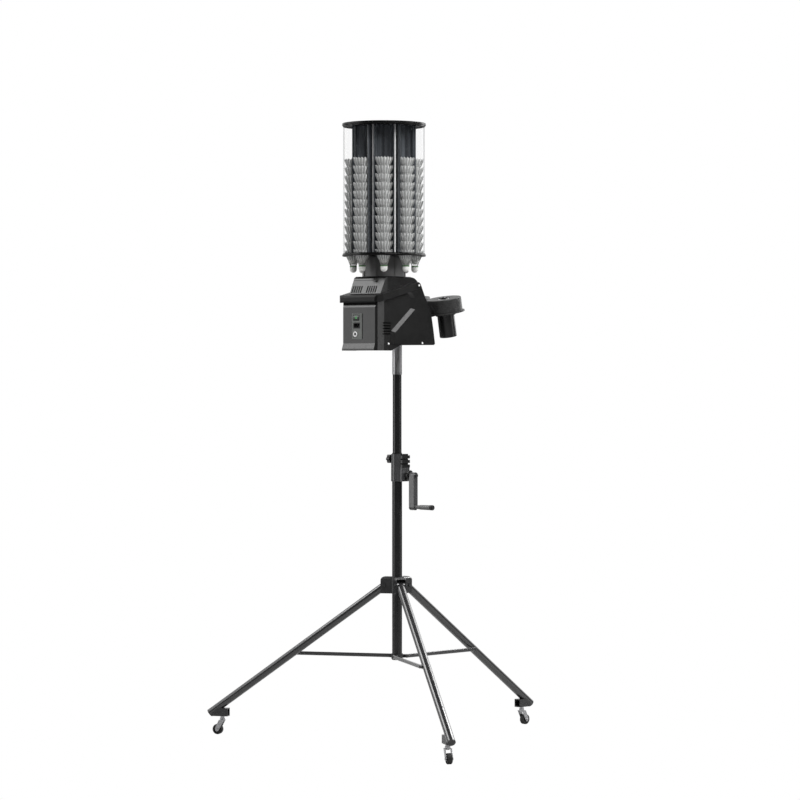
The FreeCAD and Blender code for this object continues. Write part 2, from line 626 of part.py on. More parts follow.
def make_electrics():
    rear = -222.4
    frame = box((rear - 2.5, rear), MODULE_Y, MODULE_Z)
    through = (rear - 9, rear + 9)
    windows = [box(through, ROCKER_Y, ROCKER_Z), box(through, INLET_Y, INLET_Z)]
    hole = cyl(10.5, 20, V(rear - 9, JACK_Y, JACK_Z), X_AXIS)
    frame = frame.cut(windows + [hole])
    inlet = box((rear - 2, rear + 24), INLET_Y, INLET_Z)
    cavity = box((rear - 4, rear + 14), (INLET_Y[0] + 3.5, INLET_Y[1] - 3.5),
                 (INLET_Z[0] + 3.5, INLET_Z[1] - 3.5))
    inlet = inlet.cut(cavity)
    blade = (rear + 2, rear + 14)
    pins = [box(blade, (y - 1, y + 1), (z - 2.5, z + 2.5)) for y, z in PIN_SPOTS]
    save("power_inlet", [inlet] + pins)
    jack = tube(10.5, 5, 20, V(rear - 4, JACK_Y, JACK_Z), X_AXIS)
    save("power_module", [frame, jack])
    middle = (ROCKER_Z[0] + ROCKER_Z[1]) / 2
    rocker = cyl(14.4, ROCKER_Y[1] - ROCKER_Y[0] - 4, V(rear + 10, ROCKER_Y[0] + 2, middle), Y_AXIS)
    slice_box = box((rear - 9, rear + 10), (-40, 40), (middle - 10.2, middle + 10.2))
    save("rocker_switch", rocker.common(slice_box))
    save("power_supply", box((-200, -146), (-60, 40), (1492, 1556)))
    board = box((-126, -40), (-60, 60), (1528, 1530))
    posts = [cyl(3, 1528 - (STEP_Z + 5), V(x, y, STEP_Z + 5)) for x in (-78, -46) for y in (-54, 54)]
    save("control_board", [board] + posts)


def make_screws():
    pairs = zip(screw_heads(), screw_shanks())
    save("housing_screws", [joined([head, shank]) for head, shank in pairs])


# ---------------------------------------------------------------- drum


def make_neck():
    x = DRUM_X
    outer = cyl(NECK_R, NECK_Z[1] - NECK_Z[0], V(x, 0, NECK_Z[0]))
    groove = box((NECK_R - 3, NECK_R + 5), (-5, 5), NECK_Z)
    grooves = [moved(turned(groove, 22.5 + 45 * k), x=x) for k in range(8)]
    inner = cyl(NECK_R - 8, 100, V(x, 0, NECK_Z[0] + 4))
    holes = [cyl(12, 60, V(DRIVE_X, 0, 1740)), cyl(9, 60, V(x, 0, 1740))]
    save("neck", outer.cut(grooves + [inner] + holes))
    bearing = tube(24, 8 + RUN, 20, V(x, 0, NECK_Z[0] + 4))
    save("carousel_bearing", bearing)
    shaft = cyl(8, 1837 - 1762, V(x, 0, 1762))
    shoulder = cyl(12, 1786 - 1784.4, V(x, 0, 1784.4))
    flange = cyl(61, 4, V(x, 0, 1832.6))
    save("carousel_shaft", joined([shaft, shoulder, flange]))
    wheel = gear(GEAR_MODULE, GEAR_TEETH, GEAR_Z[1] - GEAR_Z[0], 8)
    save("carousel_gear", moved(turned(wheel, 180), x, 0, GEAR_Z[0]))
    drive = gear(GEAR_MODULE, DRIVE_TEETH, GEAR_Z[1] - GEAR_Z[0], 4)
    drive = moved(turned(drive, 180 / DRIVE_TEETH), DRIVE_X, 0, GEAR_Z[0])
    save("drive_pinion", [drive, cyl(4, 1797 - 1745, V(DRIVE_X, 0, 1745))])
    motor = joined([cyl(19, 52, V(DRIVE_X, 0, 1690)), cyl(9, 15, V(DRIVE_X, 0, 1742))])
    save("carousel_motor", motor.cut(cyl(4 + RUN, 40, V(DRIVE_X, 0, 1744.6))))


def d_section(radius, reach, z):
    """A round station opened outwards as far as a reach from the drum axis."""
    ring = cyl(radius, z[1] - z[0], V(STATION_R, 0, z[0]))
    mouth = box((STATION_R, reach), (-radius, radius), z)
    return ring.common(box((0, STATION_R), (-99, 99), z)).fuse(mouth)


def station_turn(k):
    return DRUM_TURN + 360 / STATIONS * k


def make_drum():
    x = DRUM_X
    hole = cyl(28.2, 30, V(STATION_R, 0, DISC_Z[0] - 10))
    disc = cyl(DISC_R, DISC_Z[1] - DISC_Z[0], V(0, 0, DISC_Z[0]))
    disc = disc.makeFillet(2.5, [e for e in disc.Edges if e.Closed])
    disc = disc.cut([turned(hole, station_turn(k)) for k in range(STATIONS)])
    save("drum_base", moved(disc, x=x))
    cover = cyl(DISC_R, COVER_Z[1] - COVER_Z[0], V(x, 0, COVER_Z[0]))
    save("drum_cover", cover.makeFillet(2.5, [e for e in cover.Edges if e.Closed]))
    z = (DISC_Z[1], COVER_Z[0])
    core = tube(83, 80, z[1] - z[0], V(0, 0, z[0]))
    mouths = []
    for k in range(STATIONS):
        core = core.fuse(turned(d_section(TUBE_R + 2, 120, z), station_turn(k)))
        mouths.append(turned(d_section(TUBE_R, 140, z), station_turn(k)))
    core = core.cut(mouths).cut(cyl(80, z[1] - z[0], V(0, 0, z[0])))
    save("drum_core", moved(core.removeSplitter(), x=x))
    rod = cyl(ROD_R, z[1] - z[0], V(ROD_CIRCLE, 0, z[0]))
    save("drum_rods", [moved(turned(rod, station_turn(k + 0.5)), x=x) for k in range(STATIONS)])
    save("drum_shell", tube(SHELL_R, SHELL_R - 2.5, z[1] - z[0], V(x, 0, z[0])))


def make_shuttle():
    """One shuttlecock standing on its cork, its foot at height 0."""
    neck_z = CORK_LENGTH
    top = SHUTTLE_LENGTH
    cork = cyl(CORK_R, neck_z - CORK_R, V(0, 0, CORK_R))
    dome = Part.makeSphere(CORK_R, V(0, 0, CORK_R), Z_AXIS, -90, 0, 360)
    cork = joined([cork, dome])
    skirt = revolved([(CORK_R - 3, neck_z), (CORK_R, neck_z), (SKIRT_R, top), (SKIRT_R - 1, top),
                      (CORK_R - 1, neck_z + 2), (CORK_R - 3, neck_z + 2)])
    return joined([cork, skirt])


def make_shuttles():
    shuttle = make_shuttle()
    rows = []
    for level in range(STACK_COUNT):
        for k in range(STATIONS):
            placed = moved(shuttle, STATION_R, 0, CORK_FOOT + STACK_PITCH * level)
            rows.append(moved(turned(placed, station_turn(k)), x=DRUM_X))
    save("shuttle_row", rows[:STATIONS])
    save("shuttle_stacks", rows[STATIONS:])


# ---------------------------------------------------------------- launcher


def launcher_place(shape):
    """From the launcher's own frame to the machine's frame."""
    return moved(turned(shape, -LAUNCH_ANGLE, axis=Y_AXIS), WHEEL_POINT.x, WHEEL_POINT.y, WHEEL_POINT.z)


def launcher_local(point):
    angle = math.radians(LAUNCH_ANGLE)
    dx = point.x - WHEEL_POINT.x
    dz = point.z - WHEEL_POINT.z
    return V(dx * math.cos(angle) + dz * math.sin(angle), 0, dz * math.cos(angle) - dx * math.sin(angle))


def make_launch_wheel():
    """The hollow wheel and the guard ring round its foot."""
    low, high = LAUNCH_WHEEL_Z
    body = cyl(LAUNCH_WHEEL_R, high - low, V(0, 0, low))
    body = body.makeFillet(2.5, [e for e in body.Edges if e.Closed and e.CenterOfMass.z > 0])
    cavity = tube(LAUNCH_WHEEL_R - 8, 10, high - 6 - low, V(0, 0, low))
    dish = tube(24, 9, 3, V(0, 0, high - 3))
    bore = cyl(5, 80, V(0, 0, low - 5))
    nose_room = cyl(13, 11, V(0, 0, low - 1))
    return body.cut([cavity, dish, bore, nose_room]), tube(FLANGE_R, LAUNCH_WHEEL_R, 4, V(0, 0, low))


def make_launcher():
    half = LAUNCH_HALF_SPACING
    low = LAUNCH_WHEEL_Z[0]
    body, ring = make_launch_wheel()
    spindle = cyl(5, LAUNCH_WHEEL_Z[1] + 4 - SPINDLE_FOOT, V(0, 0, SPINDLE_FOOT))
    nut = joined([spindle, cyl(8.5, 3, V(0, 0, LAUNCH_WHEEL_Z[1]))])
    tilt = launcher_local(TILT_POINT)
    for side, name in ((1, "left"), (-1, "right")):
        placed = [launcher_place(moved(piece, y=side * half)) for piece in (body, ring, nut)]
        save("launch_wheel_" + name, placed)
    motors = []
    for side in (-1, 1):
        can = cyl(MOTOR_R, MOTOR_LENGTH, V(0, side * half, low - 6 - MOTOR_LENGTH))
        can = can.makeFillet(3, [e for e in can.Edges if e.Closed])
        nose = cyl(12, 16, V(0, side * half, low - 7))
        socket = cyl(5 + RUN, 40, V(0, side * half, SPINDLE_FOOT - GAP))
        motors.append(launcher_place(joined([can, nose]).cut(socket)))
    save("launch_motors", motors)

    top = low - 5.6
    thick = 4
    rings = [cyl(MOTOR_R + 5, thick, V(0, side * half, top - thick)) for side in (-1, 1)]
    cross = box((-20, 22), (-half, half), (top - thick, top))
    spine = box((tilt.x - 9.6, 0), (-ARM_Y[1], ARM_Y[1]), (top - thick, top))
    outline = [(tilt.x - 8, tilt.z), (tilt.x - 8, top), (tilt.x + 30, top)]
    outline += [(tilt.x + 8, top + 3), (tilt.x + 8, tilt.z)]
    arms = []
    for y in (ARM_Y[0], -ARM_Y[1]):
        arms.append(side_prism(outline, y, y + ARM_Y[1] - ARM_Y[0]))
        arms.append(cyl(8, ARM_Y[1] - ARM_Y[0], V(tilt.x, y, tilt.z), Y_AXIS))
    yoke = joined([cross, spine] + rings + arms)
    yoke = yoke.cut([cyl(MOTOR_R, 60, V(0, side * half, top - 30)) for side in (-1, 1)])
    yoke = yoke.cut(cyl(4 + RUN, 120, V(tilt.x, -60, tilt.z), Y_AXIS))
    save("launcher_yoke", launcher_place(yoke))


def make_feeder():
    outline = [(30, 1708), (88, 1703), (103, 1696), (105, 1686), (127, 1645)]
    outline += [(127, 1632), (119, 1628), (60, 1628)]
    housing = side_prism(lower_outline(), -99, 99)
    cheeks = []
    for y in (CHEEK_Y[0], -CHEEK_Y[1]):
        cheek = side_prism(outline, y, y + 3).cut(housing)
        cheek = cheek.cut(cyl(5 + RUN, 10, V(FEED_POINT.x, y - 3, FEED_POINT.z), Y_AXIS))
        cheek = cheek.cut(cyl(4, 10, V(TILT_POINT.x, y - 3, TILT_POINT.z), Y_AXIS))
        cheeks.append(max(cheek.Solids, key=lambda s: s.Volume))
    pins = []
    for side in (1, -1):
        pin = cyl(4, 14, V(TILT_POINT.x, 33, TILT_POINT.z), Y_AXIS)
        head = cyl(7, 4, V(TILT_POINT.x, 43, TILT_POINT.z), Y_AXIS)
        pin = joined([pin, head])
        pins.append(pin if side > 0 else mirrored(pin))
    save("launcher_cheeks", cheeks + pins)

    back = CHANNEL_BACK + 0.2
    outer = [(back, 1751), (back, CHANNEL_FLOOR), (91, CHANNEL_FLOOR), (91, 1614.5)]
    outer += [(75, 1648), (61, 1668), (42.5, 1700), (32, 1718), (23, 1740), (14, 1747)]
    back = CHANNEL_BACK + 3
    floor = CHANNEL_FLOOR + 3
    inner = [(back, 1900), (back, floor + 17), (40, floor), (200, floor), (200, 1900)]
    chute = side_prism(outer, -CHANNEL_HALF + 0.1, CHANNEL_HALF - 0.1)
    chute = chute.cut(side_prism(inner, 3 - CHANNEL_HALF, CHANNEL_HALF - 3))
    save("drop_chute", chute)

    shaft = cyl(5, 2 * CHEEK_Y[1] + 1, V(FEED_POINT.x, -CHEEK_Y[1] - 1, FEED_POINT.z), Y_AXIS)
    boss = cyl(9, 36, V(FEED_POINT.x, -18, FEED_POINT.z), Y_AXIS)
    cup_top = V(39, 0, 1648)
    cup = cyl(17.6, 14, cup_top)
    bar = [(FEED_POINT.x - 3, FEED_POINT.z + 7), (FEED_POINT.x + 5, FEED_POINT.z - 7)]
    bar += [(46, 1648), (34, 1648), (34, 1660)]
    links = [side_prism(bar, y, y + 3.2) for y in (-18, 14.8)]
    arm = joined([boss, cup] + links)
    shaft_hole = cyl(5, 120, V(FEED_POINT.x, -60, FEED_POINT.z), Y_AXIS)
    arm = arm.cut([cyl(14.2, 40, V(39, 0, 1640)), shaft_hole])
    save("feed_arm", [arm.removeSplitter(), shaft])
    motor = cyl(14, 26, V(FEED_POINT.x, CHEEK_Y[1] + 1.4, FEED_POINT.z), Y_AXIS)
    plate = box((FEED_POINT.x - 12, FEED_POINT.x + 8), (CHEEK_Y[1], CHEEK_Y[1] + 1.4),
                (FEED_POINT.z - 8, FEED_POINT.z + 8))
    bore = cyl(5 + RUN, 12, V(FEED_POINT.x, CHEEK_Y[1] - 5, FEED_POINT.z), Y_AXIS)
    save("feed_motor", joined([motor, plate]).cut(bore))


os.makedirs("parts", exist_ok=True)
make_column()
make_hub()
make_collar()
make_tripod()
make_mast()
make_winch()
make_crank()
make_lock_knob()
make_lower_housing()
make_side_panels()
make_hood()
make_lip()
make_base()
make_electrics()
make_screws()
make_neck()
make_drum()
make_shuttles()
make_launcher()
make_feeder()
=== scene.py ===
"""The looks of the shuttlecock launching machine, in metres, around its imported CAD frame.

+X is the launch direction, +Y the machine's left, +Z up, and the floor is at Z = 0.
"""

import json
import math

import bmesh
import bpy
from mathutils import Matrix, Vector


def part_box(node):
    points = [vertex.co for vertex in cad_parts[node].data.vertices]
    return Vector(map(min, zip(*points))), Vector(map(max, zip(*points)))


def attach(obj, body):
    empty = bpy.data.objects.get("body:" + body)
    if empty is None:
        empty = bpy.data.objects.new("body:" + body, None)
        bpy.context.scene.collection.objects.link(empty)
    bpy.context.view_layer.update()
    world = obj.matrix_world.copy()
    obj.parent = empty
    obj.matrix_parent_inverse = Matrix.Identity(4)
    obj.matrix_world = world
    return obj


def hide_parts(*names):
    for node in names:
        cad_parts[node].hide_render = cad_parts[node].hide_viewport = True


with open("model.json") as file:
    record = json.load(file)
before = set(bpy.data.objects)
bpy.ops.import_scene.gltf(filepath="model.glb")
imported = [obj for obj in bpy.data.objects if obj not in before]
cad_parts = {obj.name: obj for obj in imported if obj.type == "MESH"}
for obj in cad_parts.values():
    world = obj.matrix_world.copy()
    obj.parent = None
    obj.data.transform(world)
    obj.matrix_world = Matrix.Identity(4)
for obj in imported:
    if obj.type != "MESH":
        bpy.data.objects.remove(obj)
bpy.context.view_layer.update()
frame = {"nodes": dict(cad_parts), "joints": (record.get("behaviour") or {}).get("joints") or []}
nodes = frame["nodes"]

MM = 0.001
X, Y, Z = Vector((1, 0, 0)), Vector((0, 1, 0)), Vector((0, 0, 1))
RANGE_SOCKETS = ("From Min", "From Max", "To Min", "To Max")


def centre(node):
    low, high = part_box(node)
    return (low + high) / 2


# ---------------------------------------------------------------- materials


class Shader:
    """One node material, with short ways to add what a surface shows."""

    def __init__(self, name, colour, roughness, metallic=0.0, **extra):
        self.material = bpy.data.materials.new(name)
        self.material.use_nodes = True
        self.tree = self.material.node_tree
        self.surface = self.tree.nodes["Principled BSDF"]
        self.colour = (*colour, 1.0)
        self.surface.inputs["Base Color"].default_value = self.colour
        self.surface.inputs["Roughness"].default_value = roughness
        self.surface.inputs["Metallic"].default_value = metallic
        for socket, value in extra.items():
            self.surface.inputs[socket.replace("_", " ")].default_value = value
        self.height = None

    def node(self, kind, **settings):
        made = self.tree.nodes.new(kind)
        for key, value in settings.items():
            if key in made.inputs:
                made.inputs[key].default_value = value
            else:
                setattr(made, key, value)
        return made

    def link(self, source, target):
        self.tree.links.new(source, target)

    def place(self, stretch=(1, 1, 1)):
        """Object coordinates in metres, stretched for a texture with a direction."""
        coordinates = self.node("ShaderNodeTexCoord")
        mapping = self.node("ShaderNodeMapping")
        mapping.inputs["Scale"].default_value = stretch
        self.link(coordinates.outputs["Object"], mapping.inputs["Vector"])
        return mapping.outputs["Vector"]

    def noise(self, scale, detail=3.0, stretch=(1, 1, 1), rough=0.55):
        made = self.node("ShaderNodeTexNoise", Scale=scale, Detail=detail, Roughness=rough)
        self.link(self.place(stretch), made.inputs["Vector"])
        return made.outputs["Fac"]

    def spread(self, value, low, high, start=0.3, end=0.7):
        made = self.node("ShaderNodeMapRange")
        for key, number in zip(RANGE_SOCKETS, (start, end, low, high)):
            made.inputs[key].default_value = number
        self.link(value, made.inputs["Value"])
        return made.outputs["Result"]

    def vary_colour(self, value, low, high, start=0.3, end=0.7):
        """The base colour, from low to high times its own brightness."""
        ramp = self.node("ShaderNodeValToRGB")
        for element, spot, share in zip(ramp.color_ramp.elements, (start, end), (low, high)):
            element.position = spot
            element.color = (*[min(1.0, channel * share) for channel in self.colour[:3]], 1.0)
        self.link(value, ramp.inputs["Fac"])
        self.link(ramp.outputs["Color"], self.surface.inputs["Base Color"])
        return self

    def vary_roughness(self, value, low, high):
        self.link(self.spread(value, low, high), self.surface.inputs["Roughness"])
        return self

    def bump(self, value, distance):
        made = self.node("ShaderNodeBump", Strength=1.0, Distance=distance)
        self.link(value, made.inputs["Height"])
        if self.height is not None:
            self.link(self.height, made.inputs["Normal"])
        self.height = made.outputs["Normal"]
        self.link(self.height, self.surface.inputs["Normal"])
        return self


# How deep each grain is, as a bump distance in metres.
PAINT_GRAIN = 0.00001
SMOOTH_PAINT_GRAIN = 0.000002
PLASTIC_GRAIN = 0.000004


def powder_coat(name, shade, roughness, coat=0.35, coat_roughness=0.18, grain=PAINT_GRAIN):
    colour = (shade, shade, shade * 1.04)
    made = Shader(name, colour, roughness, Coat_Weight=coat, Coat_Roughness=coat_roughness)
    made.vary_colour(made.noise(40), 0.85, 1.2)
    made.vary_roughness(made.noise(18, 4), roughness * 0.85, roughness * 1.2)
    made.bump(made.noise(900, 2), grain)
    return made.material


def moulded(name, shade, roughness, tint=(1, 1, 1), gloss=0.5):
    """Satin moulded plastic with a fine spark-eroded grain."""
    made = Shader(name, [shade * part for part in tint], roughness, Specular_IOR_Level=gloss)
    made.vary_colour(made.noise(14, 4), 0.88, 1.14)
    made.vary_roughness(made.noise(60, 3), roughness * 0.88, roughness * 1.14)
    made.bump(made.noise(2200, 2), PLASTIC_GRAIN)
    return made.material


def reflection_streaked(name, shade, roughness, tint):
    """Plastic with light and dark streaks up the part painted into its colour: painted reflections of the
    studio lights.
    """
    made = Shader(name, [shade * part for part in tint], roughness)
    # Painted reflection: vertical streaks from 0.4 to 2.2 times the base colour.
    made.vary_colour(made.noise(42, 2, (1, 1, 0.004)), 0.4, 2.2, 0.4, 0.6)
    made.vary_roughness(made.noise(60, 3), roughness * 0.88, roughness * 1.14)
    made.bump(made.noise(2200, 2), PLASTIC_GRAIN)
    return made.material


def metal(name, shade, roughness, stretch=(1, 1, 1), scale=500):
    made = Shader(name, (shade, shade, shade * 1.02), roughness, metallic=1.0)
    made.vary_colour(made.noise(25, 4), 0.9, 1.08)
    made.vary_roughness(made.noise(scale, 4, stretch), roughness * 0.75, roughness * 1.35)
    made.bump(made.noise(scale, 3, stretch), 0.00002)
    return made.material


def clear_sheet(name):
    """Thin clear acrylic: nearly unseen face on, grey where it is seen along its skin."""
    made = Shader(name, (0.12, 0.13, 0.15), 0.05, IOR=1.45, Specular_IOR_Level=0.15)
    facing = made.node("ShaderNodeLayerWeight", Blend=0.32)
    scuffs = made.spread(made.noise(60, 5, (1, 1, 0.15)), 0.92, 1.1)
    veil = made.spread(facing.outputs["Facing"], 0.02, 0.85, 0.62, 0.95)
    product = made.node("ShaderNodeMath", operation="MULTIPLY")
    made.link(veil, product.inputs[0])
    made.link(scuffs, product.inputs[1])
    made.link(product.outputs[0], made.surface.inputs["Alpha"])
    return made.material


def feather(name, shade):
    made = Shader(name, (shade, shade * 1.01, shade), 0.62, Subsurface_Weight=0.12)
    made.surface.inputs["Subsurface Radius"].default_value = (0.004, 0.004, 0.004)
    barbs = made.noise(260, 4, (1, 1, 0.25), 0.7)
    made.vary_colour(barbs, 0.72, 1.12)
    made.bump(barbs, 0.0002)
    return made.material


def leather_cork(name, shade):
    made = Shader(name, (shade, shade, shade * 0.97), 0.5, Coat_Weight=0.2)
    made.vary_colour(made.noise(110, 4), 0.9, 1.06)
    made.bump(made.noise(700, 3), 0.00006)
    return made.material


def rubber(name, shade, roughness=0.62):
    made = Shader(name, (shade, shade, shade), roughness, Specular_IOR_Level=0.4)
    made.vary_colour(made.noise(90, 5), 0.75, 1.3)
    made.vary_roughness(made.noise(35, 3), roughness * 0.85, roughness * 1.1)
    made.bump(made.noise(1500, 3), 0.00008)
    return made.material


def lit_symbol(name, colour):
    made = Shader(name, colour, 0.3, Emission_Strength=0.25)
    made.surface.inputs["Emission Color"].default_value = (*colour, 1.0)
    made.vary_colour(made.noise(300, 2), 0.8, 1.2)
    return made.material


def circuit(name):
    made = Shader(name, (0.01, 0.07, 0.035), 0.35, Coat_Weight=0.4)
    traces = made.node("ShaderNodeTexBrick", Scale=55.0)
    traces.inputs["Color1"].default_value = made.colour
    traces.inputs["Color2"].default_value = (0.015, 0.1, 0.05, 1)
    traces.inputs["Mortar"].default_value = (0.03, 0.2, 0.09, 1)
    made.link(made.place(), traces.inputs["Vector"])
    made.link(traces.outputs["Color"], made.surface.inputs["Base Color"])
    made.bump(made.noise(400, 2), 0.00008)
    return made.material


TUBE_BLACK = powder_coat("tube_black", 0.008, 0.24)
LEG_BLACK = powder_coat("leg_black", 0.02, 0.25, 1.0, 0.1, SMOOTH_PAINT_GRAIN)
CASTING = powder_coat("casting_black", 0.016, 0.42)
CASE_GREY = powder_coat("case_grey", 0.04, 0.36, 1.0)
HOUSING = moulded("housing_plastic", 0.012, 0.22)
PANEL = moulded("panel_plastic", 0.010, 0.22)
HOOD = moulded("hood_plastic", 0.014, 0.22)
LIP = moulded("lip_plastic", 0.004, 0.4, gloss=0.22)
NECK = moulded("neck_plastic", 0.11, 0.45, gloss=0.3)
# The core's streaks are painted reflections.
CORE = reflection_streaked("core_plastic", 0.055, 0.14, tint=(0.92, 1.0, 1.1))
DISC = moulded("disc_plastic", 0.003, 0.28, gloss=0.22)
FRAME_GREY = moulded("control_frame", 0.12, 0.42, tint=(0.96, 1.02, 0.96))
SOCKET = moulded("socket_plastic", 0.006, 0.45)
ROCKER = moulded("rocker_plastic", 0.01, 0.25, tint=(0.8, 1.5, 0.8))
SLEEVE = metal("sleeve_steel", 0.42, 0.3, (1, 1, 0.05))
ZINC = metal("zinc_plate", 0.5, 0.36, scale=160)
STEEL = metal("bright_steel", 0.62, 0.26)
# Near-white diffuse paint in place of polished steel on the rods and screws: a painted reflection of the
# bright studio.
ROD_PAINTED_SHINE = moulded("rod_painted_reflection", 0.92, 0.3)
ALUMINIUM = metal("satin_aluminium", 0.5, 0.38, (0.1, 1, 1))
CLEAR = clear_sheet("clear_acrylic")
FEATHER = feather("feather_white", 0.84)
# A darker copy of the feather material: painted shade for the left halves of the vanes.
FEATHER_PAINTED_SHADE = feather("feather_painted_shade", 0.4)
QUILL = leather_cork("quill_white", 0.4)
CORK = leather_cork("cork_white", 0.85)
GREEN = moulded("band_green", 0.3, 0.45, tint=(0.16, 0.55, 0.14))
WHITE = moulded("band_white", 0.75, 0.45)
TYRE = rubber("caster_tyre", 0.018)
WHEEL = rubber("launch_wheel_rubber", 0.03, 0.4)
MOTOR = powder_coat("motor_black", 0.008, 0.3)
GRIP = moulded("grip_plastic", 0.12, 0.36)
CIRCUIT = circuit("circuit_board")
SYMBOL = lit_symbol("switch_symbol", (0.06, 0.42, 0.1))

FINISHES = {
    "column_tube": TUBE_BLACK,
    "column_bushings": SOCKET,
    "leg_hub": CASTING,
    "brace_collar": CASTING,
    "winch_case": CASE_GREY,
    "winch_cover": HOUSING,
    "crank_shaft": STEEL,
    "crank_arm": CASE_GREY,
    "crank_grip": GRIP,
    "lock_knob": HOUSING,
    "mast_tube": TUBE_BLACK,
    "mast_sleeve": SLEEVE,
    "pan_socket": ALUMINIUM,
    "base_plate": ALUMINIUM,
    "lower_housing": HOUSING,
    "side_panels": PANEL,
    "hood": HOOD,
    "hood_lip": LIP,
    "power_module": FRAME_GREY,
    "power_inlet": SOCKET,
    "rocker_switch": ROCKER,
    "power_supply": ALUMINIUM,
    "control_board": CIRCUIT,
    "housing_screws": ROD_PAINTED_SHINE,
    "neck": NECK,
    "carousel_bearing": STEEL,
    "carousel_motor": ALUMINIUM,
    "carousel_shaft": NECK,
    "carousel_gear": SOCKET,
    "drive_pinion": STEEL,
    "drum_base": DISC,
    "drum_cover": DISC,
    "drum_core": CORE,
    "drum_rods": ROD_PAINTED_SHINE,
    "drum_shell": CLEAR,
    "launcher_cheeks": ALUMINIUM,
    "launcher_yoke": CASTING,
    "launch_motors": MOTOR,
    "launch_wheel_left": WHEEL,
    "launch_wheel_right": WHEEL,
    "drop_chute": SOCKET,
    "feed_arm": ALUMINIUM,
    "feed_motor": MOTOR,
}
for number in (1, 2, 3):
    FINISHES["leg_%d" % number] = LEG_BLACK
    FINISHES["foot_%d" % number] = CASTING
    FINISHES["brace_%d" % number] = LEG_BLACK
    FINISHES["caster_fork_%d" % number] = ZINC
    FINISHES["caster_wheel_%d" % number] = TYRE


def finish_cad_nodes():
    for name, material in FINISHES.items():
        for slot in nodes[name].material_slots:
            slot.material = material


# ---------------------------------------------------------------- mesh helpers


def new_piece(name, mesh_builder, materials, body, smooth=35):
    """An object made from a bmesh, riding on a CAD body."""
    bm = bmesh.new()
    mesh_builder(bm)
    bmesh.ops.recalc_face_normals(bm, faces=bm.faces)
    mesh = bpy.data.meshes.new(name)
    bm.to_mesh(mesh)
    bm.free()
    for material in materials:
        mesh.materials.append(material)
    mesh.shade_smooth()
    mesh.set_sharp_from_angle(angle=math.radians(smooth))
    piece = bpy.data.objects.new(name, mesh)
    bpy.context.scene.collection.objects.link(piece)
    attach(piece, body)
    return piece


def frame_to(origin, axis, side):
    """The matrix that carries +Z onto an axis at an origin, and +X near a side."""
    z = axis.normalized()
    x = (side - z * side.dot(z)).normalized()
    y = z.cross(x)
    turn = Matrix((x, y, z)).transposed().to_4x4()
    return Matrix.Translation(origin) @ turn


def shift(x, y, z):
    """A move by millimetres."""
    return Matrix.Translation((x * MM, y * MM, z * MM))


def in_metres(points):
    return [(x * MM, y * MM) for x, y in points]


def lathe(bm, profile, place, steps, material=0, closed=False):
    """A surface of revolution about +Z from (radius, height) points in metres."""
    rings = []
    for radius, height in profile:
        spots = polygon(steps, radius) if radius > 0 else [(0, 0)]
        rings.append([bm.verts.new(place @ Vector((*spot, height))) for spot in spots])
    pairs = list(zip(rings, rings[1:]))
    if closed:
        pairs.append((rings[-1], rings[0]))
    for low, high in pairs:
        for step in range(steps):
            after = (step + 1) % steps
            corners = [low[step % len(low)], low[after % len(low)]]
            corners += [high[after % len(high)], high[step % len(high)]]
            corners = list(dict.fromkeys(corners))
            if len(corners) > 2:
                bm.faces.new(corners).material_index = material


def plate(bm, outline, thickness, place, material=0):
    """A flat plate from (x, y) points, its thickness along +Z."""
    low = [bm.verts.new(place @ Vector((x, y, 0))) for x, y in outline]
    high = [bm.verts.new(place @ Vector((x, y, thickness))) for x, y in outline]
    bm.faces.new(low[::-1]).material_index = material
    bm.faces.new(high).material_index = material
    for k in range(len(outline)):
        after = (k + 1) % len(outline)
        bm.faces.new([low[k], low[after], high[after], high[k]]).material_index = material


def polygon(count, radius, turn=0.0):
    angles = [turn + 2 * math.pi * k / count for k in range(count)]
    return [(radius * math.cos(a), radius * math.sin(a)) for a in angles]


def arc(radius, start, end, count):
    """Points on an arc round the origin, angles in degrees."""
    angles = [math.radians(start + (end - start) * k / (count - 1)) for k in range(count)]
    return [(radius * math.cos(a), radius * math.sin(a)) for a in angles]


# ---------------------------------------------------------------- shuttlecocks

STATIONS = 8
STATION_RADIUS = 116 * MM
STATION_TURN = math.radians(-4.75)
STACK_PITCH = 31.4 * MM
STACK_COUNT = 12
CORK_RADIUS = 13.2 * MM
CORK_LENGTH = 25 * MM
SHUTTLE_LENGTH = 85 * MM
SKIRT_RADIUS = 33 * MM
SKIRT_LENGTH = SHUTTLE_LENGTH - CORK_LENGTH
CORK_STEPS = 20
BAND_WIDTH = 4.4 * MM
BAND_THICKNESS = 0.35 * MM
FEATHERS = 16
FEATHER_ROOT_RADIUS = CORK_RADIUS - 2 * MM
FEATHER_HALF_WIDTH = 7.4 * MM
FEATHER_TWIST = math.radians(16)
VANE_THICKNESS = 0.35 * MM
VANE_START = 0.34
# The right edge of a vane: shares of its half width and of the feather's length.
VANE_EDGE = [(0.16, VANE_START), (0.62, 0.44), (0.95, 0.7), (1.0, 0.86), (0.62, 0.93), (0, 1.0)]
QUILL_ROOT = 1.05 * MM
QUILL_TIP = 0.45 * MM
QUILL_SHARE = 0.93
THREAD_HEIGHTS = (9 * MM, 15 * MM)

# A shuttlecock's materials, in the order of their slots.
LEATHER_SLOT, BAND_SLOT, VANE_SLOT, QUILL_SLOT, VANE_PAINTED_SHADE_SLOT = range(5)


def cork(bm, place):
    r = CORK_RADIUS
    band_foot = CORK_LENGTH - BAND_WIDTH
    dome = [(r * math.sin(a), r - r * math.cos(a)) for a in [math.pi / 2 * k / 7 for k in range(8)]]
    lathe(bm, dome + [(r, band_foot)], place, CORK_STEPS, LEATHER_SLOT)
    band = [(r, band_foot), (r + BAND_THICKNESS, band_foot + 0.3 * MM)]
    band += [(r + BAND_THICKNESS, CORK_LENGTH - 0.4 * MM), (r - 0.4 * MM, CORK_LENGTH), (0, CORK_LENGTH)]
    lathe(bm, band, place, CORK_STEPS, BAND_SLOT)


